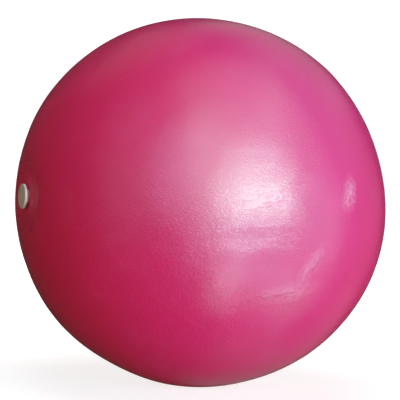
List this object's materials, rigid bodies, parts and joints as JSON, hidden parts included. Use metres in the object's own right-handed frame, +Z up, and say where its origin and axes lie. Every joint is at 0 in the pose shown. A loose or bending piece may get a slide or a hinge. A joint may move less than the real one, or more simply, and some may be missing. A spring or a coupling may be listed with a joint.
{
  "type": "exercise ball",
  "caption": "Small inflated exercise ball in soft moulded vinyl, with a moulded valve socket and a push-in plug that pulls out.",
  "frame": {"origin": "centre of the flat patch on which the ball rests, straight under the ball's centre", "axes": "+Z up; the valve is on the -X side at the height of the ball's centre, and its plug pulls out along -X; +Y completes a right-handed frame"},
  "size_m": [0.2509, 0.25, 0.2492],
  "materials": {
    "soft_vinyl_skin": "satin",
    "soft_vinyl_socket": "satin",
    "moulded_plug": "satin"
  },
  "bodies": {
    "ball": {"ball_skin": "soft_vinyl_skin", "valve_insert": "soft_vinyl_socket"},
    "plug": {"plug": "moulded_plug"}
  },
  "joints": [
    {"name": "plug_pull", "type": "slide", "parent": "ball", "child": "plug", "axis": [-1, 0, 0], "range_m": [0, 0.03]}
  ]
}
